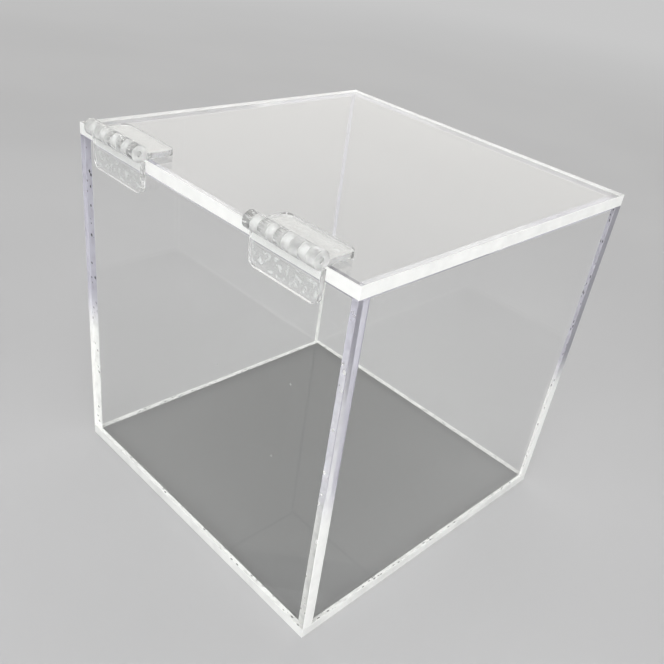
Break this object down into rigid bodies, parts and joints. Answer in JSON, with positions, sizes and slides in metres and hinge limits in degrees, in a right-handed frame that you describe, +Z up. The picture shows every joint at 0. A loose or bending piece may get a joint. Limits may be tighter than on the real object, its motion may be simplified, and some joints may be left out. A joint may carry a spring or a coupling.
{
  "type": "acrylic storage box with lid",
  "caption": "Clear acrylic cube box with a flat full-size lid that opens on glued clear hinges along the top rear edge.",
  "frame": {"origin": "centre of the underside of the base, on the surface the box stands on", "axes": "+Z up; +Y towards the rear, where the hinges are; +X along the hinge line, to the right of a person facing the front"},
  "size_m": [0.2, 0.2073, 0.2073],
  "materials": {
    "clear_sheet": "polished clear acrylic sheet, 6 mm",
    "cement_film": "clear solvent cement with fine trapped bubbles",
    "glue_film": "mottled clear glue",
    "hinge_plastic": "glossy moulded clear acrylic",
    "hinge_pin": "glossy translucent rod"
  },
  "bodies": {
    "box": {"base_panel": "clear_sheet", "front_panel": "clear_sheet", "rear_panel": "clear_sheet", "left_panel": "clear_sheet", "right_panel": "clear_sheet", "base_cement": "cement_film", "corner_cement": "cement_film", "wall_glue_pads": "glue_film", "left_hinge_wall_leaf": "hinge_plastic", "right_hinge_wall_leaf": "hinge_plastic", "left_hinge_pin": "hinge_pin", "right_hinge_pin": "hinge_pin"},
    "lid": {"lid_panel": "clear_sheet", "lid_glue_pads": "glue_film", "left_hinge_lid_leaf": "hinge_plastic", "right_hinge_lid_leaf": "hinge_plastic"}
  },
  "joints": [
    {"name": "lid_hinge", "type": "hinge", "parent": "box", "child": "lid", "pos_m": [0, 0.10335, 0.20335], "axis": [-1, 0, 0], "range_deg": [0, 270]}
  ]
}
